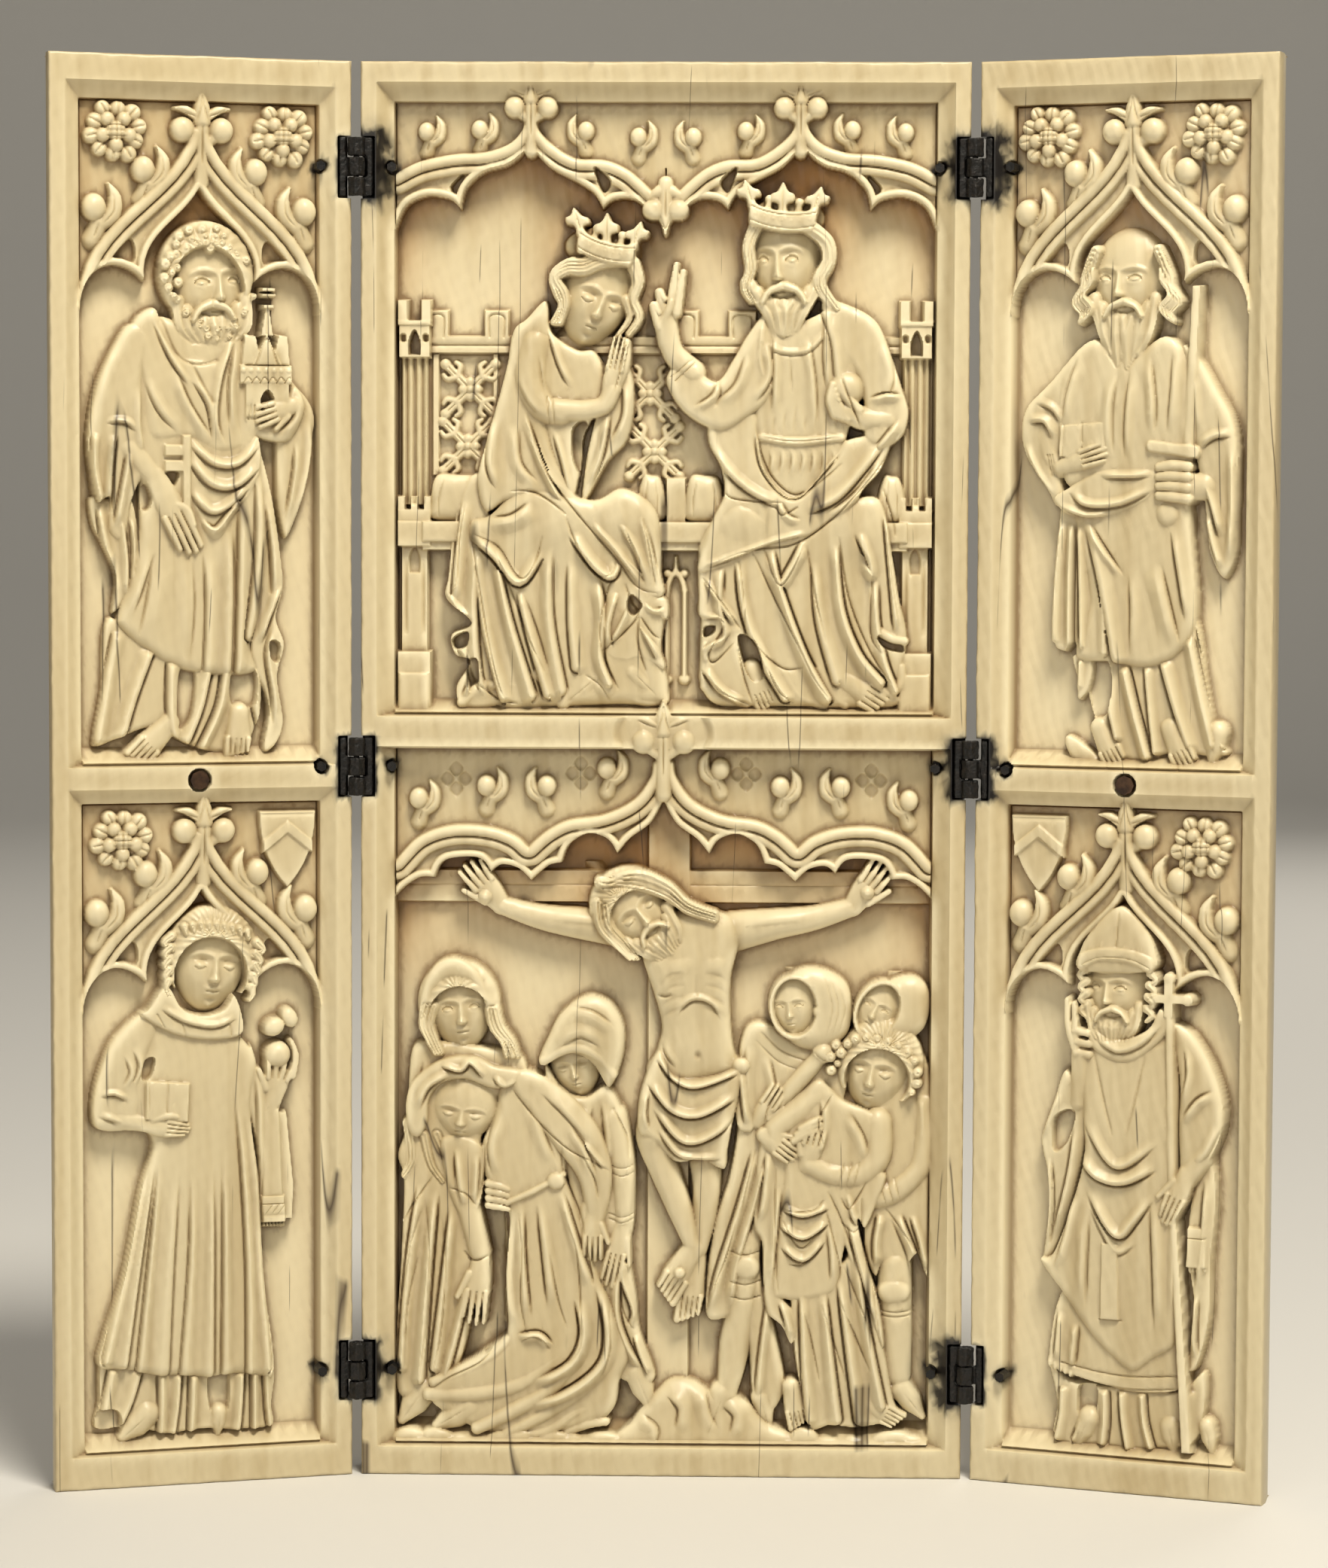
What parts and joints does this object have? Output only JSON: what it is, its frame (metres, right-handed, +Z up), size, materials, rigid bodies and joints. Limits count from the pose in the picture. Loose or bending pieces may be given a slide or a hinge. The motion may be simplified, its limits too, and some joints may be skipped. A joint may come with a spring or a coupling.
{
  "type": "carved ivory triptych altarpiece",
  "caption": "Standing folding altarpiece of carved ivory: a centre panel with two relief scenes and two hinged wings with standing saints under pointed arches.",
  "frame": {"origin": "middle of the centre panel's underside", "axes": "+Z up the panels, -Y out of the carved faces, +X to the viewer's right"},
  "size_m": [0.2042, 0.028, 0.239],
  "materials": {
    "ivory": "satin, aged ivory",
    "iron": "dark, corroded",
    "brass": "dull, dark"
  },
  "bodies": {
    "centre": {"centre_panel": "ivory", "left_top_hinge_centre_leaf": "iron", "left_top_hinge_pin": "iron", "left_top_hinge_centre_rivet": "iron", "left_middle_hinge_centre_leaf": "iron", "left_middle_hinge_pin": "iron", "left_middle_hinge_centre_rivet": "iron", "left_bottom_hinge_centre_leaf": "iron", "left_bottom_hinge_pin": "iron", "left_bottom_hinge_centre_rivet": "iron", "right_top_hinge_centre_leaf": "iron", "right_top_hinge_pin": "iron", "right_top_hinge_centre_rivet": "iron", "right_middle_hinge_centre_leaf": "iron", "right_middle_hinge_pin": "iron", "right_middle_hinge_centre_rivet": "iron", "right_bottom_hinge_centre_leaf": "iron", "right_bottom_hinge_pin": "iron", "right_bottom_hinge_centre_rivet": "iron"},
    "left_wing_body": {"left_wing": "ivory", "left_wing_stud": "brass", "left_top_hinge_wing_leaf": "iron", "left_top_hinge_wing_rivet": "iron", "left_middle_hinge_wing_leaf": "iron", "left_middle_hinge_wing_rivet": "iron", "left_bottom_hinge_wing_leaf": "iron", "left_bottom_hinge_wing_rivet": "iron"},
    "right_wing_body": {"right_wing": "ivory", "right_wing_stud": "brass", "right_top_hinge_wing_leaf": "iron", "right_top_hinge_wing_rivet": "iron", "right_middle_hinge_wing_leaf": "iron", "right_middle_hinge_wing_rivet": "iron", "right_bottom_hinge_wing_leaf": "iron", "right_bottom_hinge_wing_rivet": "iron"}
  },
  "joints": [
    {"name": "left_wing_hinge", "type": "hinge", "parent": "centre", "child": "left_wing_body", "pos_m": [-0.0517, -0.0053, 0.121], "axis": [0, 0, 1], "range_deg": [-18, 162]},
    {"name": "right_wing_hinge", "type": "hinge", "parent": "centre", "child": "right_wing_body", "pos_m": [0.0517, -0.0053, 0.121], "axis": [0, 0, -1], "range_deg": [-20.5, 159.5]}
  ]
}
